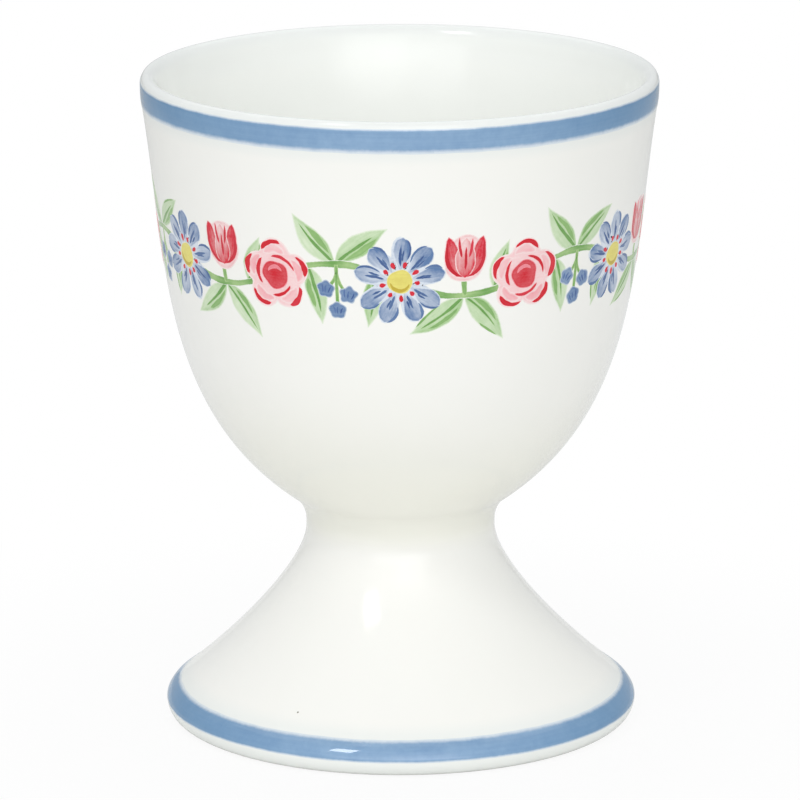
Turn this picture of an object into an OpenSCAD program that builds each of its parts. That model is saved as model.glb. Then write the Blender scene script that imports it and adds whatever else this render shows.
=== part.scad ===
// Footed egg cup: a thin-lipped porcelain bowl luted with slip to a hollow flared foot,
// with a fired-on line at the lip and at the foot, and a flower garland round the bowl.
// Millimetres, +Z up, the foot's flat ring stands on z = 0 and the axis of the cup is Z.

/* [Overall] */
// Height from the table to the top of the lip
cup_h = 65; // [60:0.5:70]

/* [Bowl] */
// Outside diameter at the lip
rim_d = 51; // [48:0.5:54]
// Thickness of the lip, which is rounded over in a full half circle
lip_t = 2; // [1.6:0.1:2.6]
// Thickness of the wall where the bowl rounds in
belly_wall = 3; // [2.4:0.1:3.6]
// Lean of the side just under the lip, in degrees from upright
side_lean = 9.4; // [6:0.2:12]
// How far the side keeps its lean, as a share of the belly curve's chord
side_full_share = 0.38; // [0.3:0.01:0.46]
// How far the underside keeps its lean, as a share of the belly curve's chord
under_full_share = 0.38; // [0.3:0.01:0.46]

/* [Waist] */
// Diameter at the waist, where bowl and foot are luted together
waist_d = 18.7; // [16:0.1:22]
// Height of the waist above the table
waist_h = 19.6; // [17:0.1:22]
// Radius of the hollow between the bowl's underside and the waist
waist_round = 3.4; // [2.4:0.1:4.4]
// Lean of the bowl's underside where it runs into the waist, in degrees from upright
under_lean = 54.6; // [48:0.2:60]
// Thickness of the layer of slip in the joint
slip_t = 0.5; // [0.3:0.1:0.8]

/* [Foot] */
// Diameter of the foot at its widest
foot_d = 46.7; // [42:0.1:50]
// Thickness of the foot's wall
foot_wall = 3; // [2.4:0.1:3.6]
// Lean of the foot's slope just above its edge, in degrees from upright
foot_lean = 52.6; // [48:0.2:57]
// Radius of the foot's rounded outer edge
foot_round = 1.6; // [1.2:0.1:1.9]
// Width of the flat ring that the cup stands on
ring_w = 2.2; // [1.6:0.1:2.8]
// Radius that breaks the inner edge of that ring
ring_round = 0.4; // [0.2:0.1:0.6]
// How far the neck keeps its upright run, as a share of the foot curve's chord
neck_full_share = 0.205; // [0.15:0.005:0.26]
// How far the slope keeps its lean, as a share of the foot curve's chord
slope_full_share = 0.29; // [0.22:0.01:0.36]

/* [Fired-on lines] */
// Drop from the top of the lip to the upper edge of the lip line
rim_line_drop = 0.6; // [0.4:0.05:0.9]
// Height of the lip line
rim_line_h = 2.1; // [1.4:0.1:3]
// Height of the foot line's lower edge above the table
foot_line_z = 1.7; // [1.4:0.1:2.4]
// Height of the foot line
foot_line_h = 1.7; // [1.2:0.1:2.6]
// Thickness of the fired-on colour
enamel_t = 0.06; // [0.04:0.01:0.1]

/* [Garland] */
// Bare glaze between the lip line and the garland's band
garland_gap = 5.1; // [3:0.1:7]
// How many times the garland repeats round the bowl
repeats = 6; // [5:1:6]
// Rise and fall of the stem about the middle
stem_wave = 1.6; // [1:0.1:2]
// Width of the stem
stem_w = 0.7; // [0.5:0.05:1]
// Diameter of a blue daisy
daisy_d = 9; // [7:0.1:9.6]
// Diameter of a daisy's yellow eye
eye_d = 2.4; // [1.8:0.1:3]
// Diameter of a pink rosette
rosette_d = 7; // [5.5:0.1:7.6]
// Diameter of a rosette's red heart
heart_d = 2.8; // [2:0.1:3.4]
// Height of a red tulip
tulip_h = 4.4; // [3.4:0.1:4.8]
// Width of a red tulip
tulip_w = 4; // [3:0.1:4.6]
// Length of a tulip's stalk above the stem
stalk_l = 1.6; // [1.2:0.1:2]
// Width of that stalk
stalk_w = 0.5; // [0.3:0.05:0.7]
// Length of a full leaf
leaf_l = 6.2; // [4.6:0.1:6.8]
// Width of a full leaf
leaf_w = 2.3; // [1.4:0.1:2.6]
// Diameter of a small blue bud
bud_d = 1.8; // [1.2:0.1:2.2]

/* [Hidden] */
$fn = 96;

// Colours of the glazed body and of the fired-on colours
porcelain = [0.95, 0.95, 0.93];
line_blue = [0.53, 0.67, 0.81];
petal_blue = [0.49, 0.61, 0.82];
petal_pink = [0.95, 0.72, 0.78];
heart_red = [0.87, 0.2, 0.3];
eye_yellow = [0.86, 0.86, 0.4];
leaf_green = [0.6, 0.8, 0.55];
stem_green = [0.45, 0.7, 0.42];

// Steps along each rounded stretch of the outlines
lip_steps = 12;
belly_steps = 28;
waist_steps = 6;
floor_steps = 8;
slope_steps = 20;
edge_steps = 8;
ring_steps = 3;

// Points of a circle's arc from angle a0 to a1
function arc_points(c, r, a0, a1, n) =
    [for (i = [0:n]) let (a = a0 + (a1 - a0) * i / n) [c[0] + r * cos(a), c[1] + r * sin(a)]];

// A point of the cubic curve through the ends k[0] and k[3], pulled by k[1] and k[2]
function curve_point(k, t) =
    pow(1 - t, 3) * k[0] + 3 * pow(1 - t, 2) * t * k[1] + 3 * (1 - t) * t * t * k[2] + pow(t, 3) * k[3];

// Direction of travel at that point
function curve_way(k, t) =
    pow(1 - t, 2) * (k[1] - k[0]) + 2 * (1 - t) * t * (k[2] - k[1]) + t * t * (k[3] - k[2]);

// The outward side of a path that runs down the outside of the cup
function side_of(way) = [-way[1], way[0]] / norm(way);

// A step of length d, leaning by angle a from straight down
function leaning(a, d) = d * [sin(a), -cos(a)];

// Smooth growth from 0 to 1
function eased(t) = let (u = min(1, max(0, t))) u * u * (3 - 2 * u);

function reversed(pts) = [for (i = [len(pts) - 1:-1:0]) pts[i]];
function without_first(pts) = [for (i = [1:len(pts) - 1]) pts[i]];
function radius_at(pts, z) = lookup(z, [for (p = pts) [p[1], p[0]]]);
function height_at(pts, r) = lookup(r, pts);

// The stretch of a downward path between two heights
function stretch(pts, z_top, z_low) = concat(
    [[radius_at(pts, z_top), z_top]],
    [for (p = pts) if (p[1] < z_top && p[1] > z_low) p],
    [[radius_at(pts, z_low), z_low]]);

// A path moved sideways by t
function moved(pts, t) = let (last = len(pts) - 1)
    [for (i = [0:last]) pts[i] + t * side_of(pts[min(last, i + 1)] - pts[max(0, i - 1)])];

// The outline of a layer of thickness t that lies on a path
function layer(pts, t) = concat(pts, reversed(moved(pts, t)));

// Lip: a half circle tangent to both faces of the wall
lip_r = lip_t / 2;
lip_c = [rim_d / 2 - lip_r, cup_h - lip_r];
lip_arc = arc_points(lip_c, lip_r, 180 - side_lean, -side_lean, lip_steps);
lip_foot = lip_arc[lip_steps];

// Waist: a quarter hollow that ends upright on the joint
waist_r = waist_d / 2;
joint_top = waist_h + slip_t / 2;
joint_low = waist_h - slip_t / 2;
waist_arc = arc_points([waist_r + waist_round, joint_top], waist_round, 180 - under_lean, 180, waist_steps);

// Belly: one cubic curve from the lip to the waist
belly_chord = norm(waist_arc[0] - lip_foot);
belly_curve = [
    lip_foot,
    lip_foot + leaning(-side_lean, side_full_share * belly_chord),
    waist_arc[0] - leaning(-under_lean, under_full_share * belly_chord),
    waist_arc[0]
];
belly = [for (i = [0:belly_steps]) curve_point(belly_curve, i / belly_steps)];
bowl_outside = concat(
    [for (p = lip_arc) if (p[0] > lip_c[0]) p], without_first(belly), without_first(waist_arc));

// Inside of the bowl: the wall grows from the lip to the belly, then a round floor closes it
wall_grown_share = 0.5;
floor_start_share = 0.79;
floor_i = round(floor_start_share * belly_steps);
function wall_at(t) = lip_t + (belly_wall - lip_t) * eased(t / wall_grown_share);
bowl_inside = [for (i = [0:floor_i]) let (t = i / belly_steps)
    curve_point(belly_curve, t) - wall_at(t) * side_of(curve_way(belly_curve, t))];
floor_way = curve_way(belly_curve, floor_i / belly_steps);
floor_turn = atan2(-floor_way[1], -floor_way[0]);
floor_edge = bowl_inside[floor_i];
floor_r = floor_edge[0] / sin(floor_turn);
floor_arc = arc_points([0, floor_edge[1] + floor_r * cos(floor_turn)], floor_r,
    -90 + floor_turn, -90, floor_steps);

// Foot: one cubic curve from the joint to the rounded edge
foot_r = foot_d / 2;
edge_c = [foot_r - foot_round, foot_round];
edge_arc = arc_points(edge_c, foot_round, foot_lean, -90, edge_steps);
slope_top = [waist_r, joint_low];
slope_chord = norm(edge_arc[0] - slope_top);
slope_curve = [
    slope_top,
    slope_top + leaning(0, neck_full_share * slope_chord),
    edge_arc[0] - leaning(foot_lean, slope_full_share * slope_chord),
    edge_arc[0]
];
slope = [for (i = [0:slope_steps]) curve_point(slope_curve, i / slope_steps)];
foot_outside = concat(slope, without_first(edge_arc));

// Inside of the foot: the same wall all the way, down to the standing ring
bore_r = waist_r - foot_wall;
ring_in = edge_c[0] - ring_w;
foot_inside = [for (i = [0:slope_steps]) let (t = i / slope_steps)
    curve_point(slope_curve, t) - foot_wall * side_of(curve_way(slope_curve, t))];
ring_edge = arc_points([ring_in + ring_round, ring_round], ring_round, -90, -180, ring_steps);

// Garland: places are shares of one repeat round the bowl, turns are degrees from upright,
// and a leaf's third value is its size as a share of the full leaf
repeat_angle = 360 / repeats;
band_half = stem_wave + max(leaf_l, daisy_d / 2, stalk_l + tulip_h);
garland_z = cup_h - rim_line_drop - rim_line_h - garland_gap - band_half;
garland_r = radius_at(bowl_outside, garland_z);
repeat_l = 2 * PI * garland_r / repeats;
daisy_share = 0;
tulip_share = 0.25;
rosette_share = 0.5;
tucked_share = 0.6;
stamp_start_share = 0.7;
stamp_depth_share = 0.5;
leaf_spots_share = [
    [0.25, 132, 1], [0.25, 226, 1], [0.37, 8, 0.8], [0.64, 160, 0.94],
    [0.75, 48, 1], [0.75, -50, 1], [0.9, 176, 0.9]
];
bud_spots_share = [[0.71, -0.6], [0.8, -0.9], [0.755, -1.9]];

// Waves, bends and steps of the garland's outlines
petals = 9;
petal_root_share = 0.46;
lobes = 5;
lobe_root_share = 0.74;
wave_share = 0.7;
petal_steps = 6;
leaf_steps = 7;
leaf_bend_share = 0.16;
leaf_belly_share = 0.85;
stem_steps = 8;
heart_corners = 12;
bud_corners = 10;
cup_share = 0.6;
notch_share = 0.68;
cup_steps = 6;

// Height of the stem above the garland's middle
function stem_rise(share) = -stem_wave * sin(360 * share);

// Outline of a flower: petals as rounded waves between a root radius and the full one
function petal_outline(d, n, root_share) = [for (i = [0:n * petal_steps - 1])
    let (a = 360 * i / (n * petal_steps), w = pow(abs(cos(n * a / 2)), wave_share))
    d / 2 * (root_share + (1 - root_share) * w) * [sin(a), cos(a)]];

// Outline of a leaf that grows up from the origin and bends to one side at its tip
function leaf_side(side) = [for (i = [0:leaf_steps]) let (t = i / leaf_steps)
    [leaf_bend_share * leaf_l * t * t + side * leaf_w / 2 * sin(180 * pow(t, leaf_belly_share)), leaf_l * t]];
leaf_outline = concat(leaf_side(1), without_first(reversed(without_first(leaf_side(-1)))));

// Outline of a tulip: a round cup with three points, its foot at the origin
tulip_cup_h = cup_share * tulip_h;
tulip_outline = concat(
    [for (i = [0:cup_steps]) let (a = -180 + 180 * i / cup_steps)
        [tulip_w / 2 * cos(a), tulip_cup_h * (1 + sin(a))]],
    [[tulip_w / 2, tulip_h], [tulip_w / 4, notch_share * tulip_h], [0, tulip_h],
        [-tulip_w / 4, notch_share * tulip_h], [-tulip_w / 2, tulip_h]]);

// A flat outline pushed straight out through the wall of the bowl
module stamped(share, rise, turn = 0) {
    rotate([0, 0, repeat_angle * share])
        translate([0, -stamp_start_share * garland_r, garland_z + rise])
            rotate([90, 0, 0])
                linear_extrude(height = stamp_depth_share * garland_r)
                    rotate(-turn)
                        children();
}

// The layer of colour round the garland's band, out of which the outlines are cut
module colour_layer() {
    rotate_extrude()
        polygon(layer(stretch(bowl_outside, garland_z + band_half, garland_z - band_half), enamel_t));
}

// The pieces of one repeat, cut out of the layer of colour and repeated round the bowl
module fired() {
    intersection() {
        colour_layer();
        for (i = [0:repeats - 1])
            rotate([0, 0, repeat_angle * i])
                children();
    }
}

module daisy_stamp(share) {
    stamped(share, 0)
        polygon(petal_outline(daisy_d, petals, petal_root_share));
}

module rosette_stamp() {
    stamped(rosette_share, 0)
        polygon(petal_outline(rosette_d, lobes, lobe_root_share));
}

module tulip_stamp() {
    stamped(tulip_share, stem_rise(tulip_share) + stalk_l)
        polygon(tulip_outline);
}

// What lies over the stem and the leaves of one repeat
module blossom_stamps() {
    daisy_stamp(daisy_share);
    daisy_stamp(daisy_share + 1);
    rosette_stamp();
    tulip_stamp();
}

// One run of stem, whose ends are tucked under the flowers that it joins
module stem_run(from_share, to_share) {
    mid_share = (from_share + to_share) / 2;
    run = [for (i = [0:stem_steps]) let (s = from_share + (to_share - from_share) * i / stem_steps)
        [garland_r * sin(repeat_angle * (s - mid_share)), stem_rise(s)]];
    stamped(mid_share, 0)
        polygon(layer(moved(run, -stem_w / 2), stem_w));
}

module stem_stamps() {
    daisy_tuck = tucked_share * daisy_d / 2 / repeat_l;
    rosette_tuck = tucked_share * rosette_d / 2 / repeat_l;
    stem_run(daisy_share + daisy_tuck, rosette_share - rosette_tuck);
    stem_run(rosette_share + rosette_tuck, daisy_share + 1 - daisy_tuck);
    stamped(tulip_share, stem_rise(tulip_share))
        translate([-stalk_w / 2, 0])
            square([stalk_w, stalk_l + stalk_w]);
}

module bud_stamps() {
    for (spot = bud_spots_share)
        stamped(spot[0], stem_wave * spot[1])
            circle(d = bud_d, $fn = bud_corners);
}

// Bowl: lip, belly and waist outside, flat where it is luted, round floor and wall inside
module bowl() {
    color(porcelain)
        rotate_extrude()
            polygon(concat(
                lip_arc, without_first(belly), without_first(waist_arc),
                [[0, joint_top]],
                reversed(floor_arc),
                without_first(reversed(without_first(bowl_inside)))));
}

// Ring of slip that fills the joint between the bowl and the foot
module slip_joint() {
    color(porcelain)
        rotate_extrude()
            polygon([[bore_r, joint_low], [waist_r, joint_low], [waist_r, joint_top], [bore_r, joint_top]]);
}

// Foot: a hollow trumpet, open below, that stands on a flat ring
module foot() {
    color(porcelain)
        rotate_extrude()
            polygon(concat(
                foot_outside, ring_edge,
                [[ring_in, height_at(foot_inside, ring_in)]],
                reversed([for (p = foot_inside) if (p[0] < ring_in - ring_round) p])));
}

module rim_line() {
    line_top = cup_h - rim_line_drop;
    color(line_blue)
        rotate_extrude()
            polygon(layer(stretch(bowl_outside, line_top, line_top - rim_line_h), enamel_t));
}

module foot_line() {
    color(line_blue)
        rotate_extrude()
            polygon(layer(stretch(foot_outside, foot_line_z + foot_line_h, foot_line_z), enamel_t));
}

module garland_stem() {
    color(stem_green)
        fired()
            difference() {
                stem_stamps();
                blossom_stamps();
            }
}

module garland_leaves() {
    color(leaf_green)
        fired()
            difference() {
                for (spot = leaf_spots_share)
                    stamped(spot[0], stem_rise(spot[0]), spot[1])
                        scale(spot[2])
                            polygon(leaf_outline);
                stem_stamps();
                blossom_stamps();
                bud_stamps();
            }
}

module garland_daisies() {
    color(petal_blue)
        fired()
            difference() {
                daisy_stamp(daisy_share);
                stamped(daisy_share, 0)
                    circle(d = eye_d, $fn = heart_corners);
            }
}

module garland_daisy_eyes() {
    color(eye_yellow)
        fired()
            stamped(daisy_share, 0)
                circle(d = eye_d, $fn = heart_corners);
}

module garland_rosettes() {
    color(petal_pink)
        fired()
            difference() {
                rosette_stamp();
                stamped(rosette_share, 0)
                    circle(d = heart_d, $fn = heart_corners);
            }
}

module garland_rosette_hearts() {
    color(heart_red)
        fired()
            stamped(rosette_share, 0)
                circle(d = heart_d, $fn = heart_corners);
}

module garland_tulips() {
    color(heart_red)
        fired()
            difference() {
                tulip_stamp();
                daisy_stamp(daisy_share);
                rosette_stamp();
            }
}

module garland_buds() {
    color(petal_blue)
        fired()
            difference() {
                bud_stamps();
                stem_stamps();
                blossom_stamps();
            }
}

bowl();
slip_joint();
foot();
rim_line();
foot_line();
garland_stem();
garland_leaves();
garland_daisies();
garland_daisy_eyes();
garland_rosettes();
garland_rosette_hearts();
garland_tulips();
garland_buds();
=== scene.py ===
"""Footed porcelain egg cup: a thin-lipped bowl luted with slip to a hollow flared foot,
with a brushed blue line at the lip and at the foot and a flower garland painted round the bowl."""

import bpy
import numpy as np
from mathutils import Matrix, Vector


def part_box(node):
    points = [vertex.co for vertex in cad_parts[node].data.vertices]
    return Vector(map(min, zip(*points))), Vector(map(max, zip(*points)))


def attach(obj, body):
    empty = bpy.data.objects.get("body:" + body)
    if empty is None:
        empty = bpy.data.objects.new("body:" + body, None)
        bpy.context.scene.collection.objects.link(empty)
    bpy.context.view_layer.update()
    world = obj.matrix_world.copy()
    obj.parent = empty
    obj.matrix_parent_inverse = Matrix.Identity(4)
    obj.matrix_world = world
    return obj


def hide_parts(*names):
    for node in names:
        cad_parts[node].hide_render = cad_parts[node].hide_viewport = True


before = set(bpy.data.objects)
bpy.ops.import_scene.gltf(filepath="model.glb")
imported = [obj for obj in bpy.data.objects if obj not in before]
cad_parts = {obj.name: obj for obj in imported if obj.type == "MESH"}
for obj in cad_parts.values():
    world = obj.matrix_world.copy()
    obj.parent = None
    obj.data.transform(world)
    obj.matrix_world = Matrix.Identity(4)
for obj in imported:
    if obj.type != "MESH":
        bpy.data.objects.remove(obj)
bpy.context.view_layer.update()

# sizes, in metres
bowl_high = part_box("bowl")[1]
slip_low, slip_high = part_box("slip_joint")
foot_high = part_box("foot")[1]
CUP_H = bowl_high.z
RIM_R = bowl_high.x
JOINT_TOP, JOINT_LOW = slip_high.z, slip_low.z
WAIST_R = slip_high.x
FOOT_R = foot_high.x

LIP_R = 0.001
LIP_EDGE, LIP_ROLL = 0.0007, 0.004
LIP_IN, LIP_BAND = 0.00026, 0.0026
BELLY_WALL = 0.003
SIDE_LEAN, UNDER_LEAN, FOOT_LEAN = 9.4, 54.6, 52.6
SIDE_FULL, UNDER_FULL = 0.38, 0.38
NECK_FULL, SLOPE_FULL = 0.205, 0.29
WAIST_ROUND = 0.0034
FLOOR_START = 22 / 28
WALL_GROWN = 0.5
FOOT_WALL = 0.003
FOOT_ROUND = 0.0016
RING_W, RING_ROUND = 0.0022, 0.0004
SLIP_BEAD = 0.0003
TRIM = 0.0001

RIM_LINE_DROP, RIM_LINE_H = 0.0006, 0.0024
RIM_LINE_TOP = CUP_H - RIM_LINE_DROP
RIM_LINE_LOW = RIM_LINE_TOP - RIM_LINE_H
FOOT_LINE_Z, FOOT_LINE_H = 0.0016, 0.0019
FOOT_LINE_TOP = FOOT_LINE_Z + FOOT_LINE_H
RIDGES, GROOVE_AT = 0.000015, 0.38
THIN_EDGE, HAZE = 0.45, 0.0014
LINE_LIFT, SUNK = 0.00003, -0.00001
WAVER, WAVES_ROUND = (0.004, 0.016), (3, 7, 13, 29, 53)

REPEATS = 6
REPEAT = 2 * np.pi / REPEATS
GARLAND_GAP = 0.0048
STEM_WAVE, STEM_W, STEM_STEPS = 0.0016, 0.0007, 28
DAISY_R, EYE_R = 0.0045, 0.0012
ROSETTE_R, HEART_R = 0.0035, 0.0014
TULIP_H, TULIP_W = 0.0044, 0.004
STALK_L, STALK_W = 0.0016, 0.0005
LEAF_L, LEAF_W = 0.0062, 0.0023
BUD_R = 0.0009
DAISY_SHARE, TULIP_SHARE, ROSETTE_SHARE = 0.0, 0.25, 0.5
TUCKED = 0.6
LEAF_BEND, LEAF_BELLY = 0.16, 0.85
PETALS, PETAL_ROOT = 9, 0.46
LOBES, LOBE_ROOT = 5, 0.74
EDGE_WAVE = 0.7

# a leaf's share of the repeat, its turn and its size; a bud's share and its rise in waves of the stem
LEAF_SPOTS = [(0.25, 132, 1), (0.25, 226, 1), (0.37, 8, 0.8), (0.64, 160, 0.94),
              (0.75, 48, 1), (0.75, -50, 1), (0.9, 176, 0.9)]
BUD_SPOTS = [(0.71, -0.6), (0.8, -0.9), (0.755, -1.9)]

# half widths of the brush strokes; a pair is the range that each stroke's own comes from
BUD_STALK_HALF, BUD_STROKE_HALF = 0.00017, 0.0001
VEIN_HALF, BROAD_VEIN_HALF, EDGE_VEIN_HALF = (0.00013, 0.00019), (0.0002, 0.0003), (0.0001, 0.00014)
PETAL_HALF, PETAL_EDGE_HALF = 0.00092, (0.0001, 0.00017)
EYE_STROKE_HALF, STAMEN_HALF = 0.00024, 0.00021
FOLD_HALF, LOBE_EDGE_HALF = 0.00052, (0.00022, 0.00028)
SWEEP_HALF, HEART_STROKE_HALF = (0.00015, 0.0002), 0.00019
TULIP_EDGE_HALF, TULIP_STROKE_HALF = 0.0002, 0.00014

# where they lie: a petal's edge stroke from the petal's middle line, a lobe's inwards from the lobe's
# edge, and the others from the middle of their flower
PETAL_EDGE = 0.00084
STAMEN_FROM, STAMEN_TO = 0.00135, (0.00185, 0.0021)
FOLD_R, FOLD_BOW = 0.0023, 0.0003
LOBE_INSET = 0.00022
SWEEP_FROM, SWEEP_TO = 0.0018, 0.0021

# heights of the fired-on colours above the glaze, in the order in which they were painted
LEAF_LIFT, VEIN_LIFT, STEM_LIFT = 0.000006, 0.000012, 0.000017
BUD_LIFT, FLOWER_LIFT, PETAL_LIFT = 0.000022, 0.000026, 0.000031
STROKE_LIFT, EYE_LIFT, DOT_LIFT = 0.000037, 0.000043, 0.000048
NEXT_LIFT, LIFTS = 0.0000003, 14

TURNS, LINE_STEPS, LINE_ROWS = 320, 480, 28
MM = 0.001

# the bake map: the margin of a turned piece, and in a sheet's cell the margin, the width, the height of
# the face, and where the wall and the underside lie
MAP_EDGE = 0.002
CELL_EDGE, CELL_W, FACE_H = 0.04, 0.92, 0.74
WALL_LOW, WALL_HIGH = 0.82, 0.86
UNDER_LOW, UNDER_H = 0.9, 0.06


# outlines of the cup
def leaning(angle, length):
    """A step that leans by an angle from straight down: length times (sin a, -cos a)."""
    a = np.radians(angle)
    return length * np.array([np.sin(a), -np.cos(a)])


def arc(centre, radius, start, end, steps):
    """Part of a circle: centre plus radius times (cos a, sin a), a running from start to end."""
    a = np.radians(np.linspace(start, end, steps + 1))[:, None]
    return np.asarray(centre) + radius * np.hstack([np.cos(a), np.sin(a)])


def cubic(k, t):
    """(1-t)^3 a + 3 (1-t)^2 t b + 3 (1-t) t^2 c + t^3 d for the four points of k."""
    t = np.asarray(t)[:, None]
    return (1 - t) ** 3 * k[0] + 3 * (1 - t) ** 2 * t * k[1] + 3 * (1 - t) * t * t * k[2] + t ** 3 * k[3]


def cubic_way(k, t):
    """Direction of travel along that curve."""
    t = np.asarray(t)[:, None]
    return (1 - t) ** 2 * (k[1] - k[0]) + 2 * (1 - t) * t * (k[2] - k[1]) + t * t * (k[3] - k[2])


def side_of(way):
    """The outward side of a path that runs down the outside: (-z, r) of its way, at length 1."""
    return np.stack([-way[:, 1], way[:, 0]], 1) / np.linalg.norm(way, axis=1)[:, None]


def eased(t):
    """Smooth growth u^2 (3 - 2u), u being t held between 0 and 1."""
    u = np.clip(t, 0, 1)
    return u * u * (3 - 2 * u)


def run_along(path):
    """Length run along a path up to each of its points."""
    return np.concatenate([[0], np.cumsum(np.linalg.norm(np.diff(path, axis=0), axis=1))])


def drawn_in(path):
    """The path with its uppermost band eased inwards, so that the lip stands straighter than the wall."""
    share = eased((path[:, 1] - CUP_H) / LIP_BAND + 1)
    return path - np.stack([LIP_IN * share, 0 * share], 1)


def radius_at(path, z):
    """Radius of a path that runs down, at heights z, carried straight on with the wall's lean above it."""
    above = np.maximum(z - path[0, 1], 0)
    return np.interp(-z, -path[:, 1], path[:, 0]) + above * np.tan(np.radians(SIDE_LEAN))


lip_start = np.array([RIM_R - LIP_R, CUP_H - LIP_R]) + LIP_R * leaning(90 - SIDE_LEAN, 1)
waist_centre = np.array([WAIST_R + WAIST_ROUND, JOINT_TOP])
waist = arc(waist_centre, WAIST_ROUND, 180 - UNDER_LEAN, 180, 16)
belly_chord = np.linalg.norm(waist[0] - lip_start)
belly_ends = [lip_start, lip_start + leaning(-SIDE_LEAN, SIDE_FULL * belly_chord),
              waist[0] - leaning(-UNDER_LEAN, UNDER_FULL * belly_chord), waist[0]]
belly = cubic(belly_ends, np.linspace(0, 1, 81))

t = np.linspace(0, FLOOR_START, 73)
wall = 2 * LIP_R + (BELLY_WALL - 2 * LIP_R) * eased(t / WALL_GROWN)
bowl_inside = cubic(belly_ends, t) - wall[:, None] * side_of(cubic_way(belly_ends, t))
floor_way = cubic_way(belly_ends, [FLOOR_START])[0]
floor_turn = np.degrees(np.arctan2(-floor_way[1], -floor_way[0]))
floor_r = bowl_inside[-1, 0] / np.sin(np.radians(floor_turn))
floor_centre = [0, bowl_inside[-1, 1] + floor_r * np.cos(np.radians(floor_turn))]
bowl_floor = arc(floor_centre, floor_r, floor_turn - 90, -90, 24)
bowl_floor[-1, 0] = 0

# the thin lip: outwards a quarter of an ellipse, LIP_EDGE wide and LIP_R high, and inwards a long quarter
# of one, as high as LIP_ROLL and as wide as the rest of the wall, so that the inside has no edge
roll = np.radians(np.linspace(0, 90, 17))
z = CUP_H - LIP_R * (1 - np.cos(roll))
lip_outside = drawn_in(np.stack([radius_at(belly, z) - LIP_EDGE * (1 - np.sin(roll)), z], 1))
roll = np.radians(np.linspace(0, 90, 33))
z = CUP_H - LIP_ROLL * (1 - np.cos(roll))
outer, inner = radius_at(belly, z), radius_at(bowl_inside, z)
lip_inside = drawn_in(np.stack([outer - LIP_EDGE - (outer - LIP_EDGE - inner) * np.sin(roll), z], 1))
bowl_inside = bowl_inside[bowl_inside[:, 1] < CUP_H - LIP_ROLL - TRIM]
bowl_inside = drawn_in(bowl_inside)
belly = drawn_in(belly)
bowl_outside = np.vstack([lip_outside, belly, waist[1:]])

edge_centre = np.array([FOOT_R - FOOT_ROUND, FOOT_ROUND])
edge = arc(edge_centre, FOOT_ROUND, FOOT_LEAN, -90, 24)
slope_top = np.array([WAIST_R, JOINT_LOW])
slope_chord = np.linalg.norm(edge[0] - slope_top)
slope_ends = [slope_top, slope_top + leaning(0, NECK_FULL * slope_chord),
              edge[0] - leaning(FOOT_LEAN, SLOPE_FULL * slope_chord), edge[0]]
slope = cubic(slope_ends, np.linspace(0, 1, 65))
foot_outside = np.vstack([slope, edge[1:]])

BORE_R = WAIST_R - FOOT_WALL
RING_IN = edge_centre[0] - RING_W
t = np.linspace(0, 1, 65)
foot_inside = cubic(slope_ends, t) - FOOT_WALL * side_of(cubic_way(slope_ends, t))
foot_inside = foot_inside[foot_inside[:, 0] < RING_IN - TRIM]
ring_edge = arc([RING_IN + RING_ROUND, RING_ROUND], RING_ROUND, 180, 270, 8)


# meshes
def map_u(step, steps):
    """Place across the bake map of a step round the axis, with a margin at both ends."""
    return MAP_EDGE + (1 - 2 * MAP_EDGE) * step / steps


def made(name, points, faces, corners, fields=(), sharp=None):
    """A piece from its points and faces, its bake map, its point fields and its sharp edges."""
    mesh = bpy.data.meshes.new(name)
    mesh.from_pydata(points.tolist(), [], faces)
    mesh.update()
    mesh.shade_smooth()
    uv = mesh.uv_layers.new(name="OFBake")
    uv.data.foreach_set("uv", np.ascontiguousarray(corners, np.float32).ravel())
    for label, values in dict(fields).items():
        kind, key = ("FLOAT_VECTOR", "vector") if values.ndim == 2 else ("FLOAT", "value")
        mesh.attributes.new(label, kind, "POINT").data.foreach_set(key, values.astype(np.float32).ravel())
    if sharp is not None:
        pairs = np.zeros(len(mesh.edges) * 2, np.int32)
        mesh.edges.foreach_get("vertices", pairs)
        pairs = pairs.reshape(-1, 2)
        same = (sharp[pairs[:, 0]] == sharp[pairs[:, 1]]) & (sharp[pairs[:, 0]] > 0)
        mesh.attributes.new("sharp_edge", "BOOLEAN", "EDGE").data.foreach_set("value", same)
    piece = bpy.data.objects.new(name, mesh)
    bpy.context.scene.collection.objects.link(piece)
    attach(piece, "root")
    return piece


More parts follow.
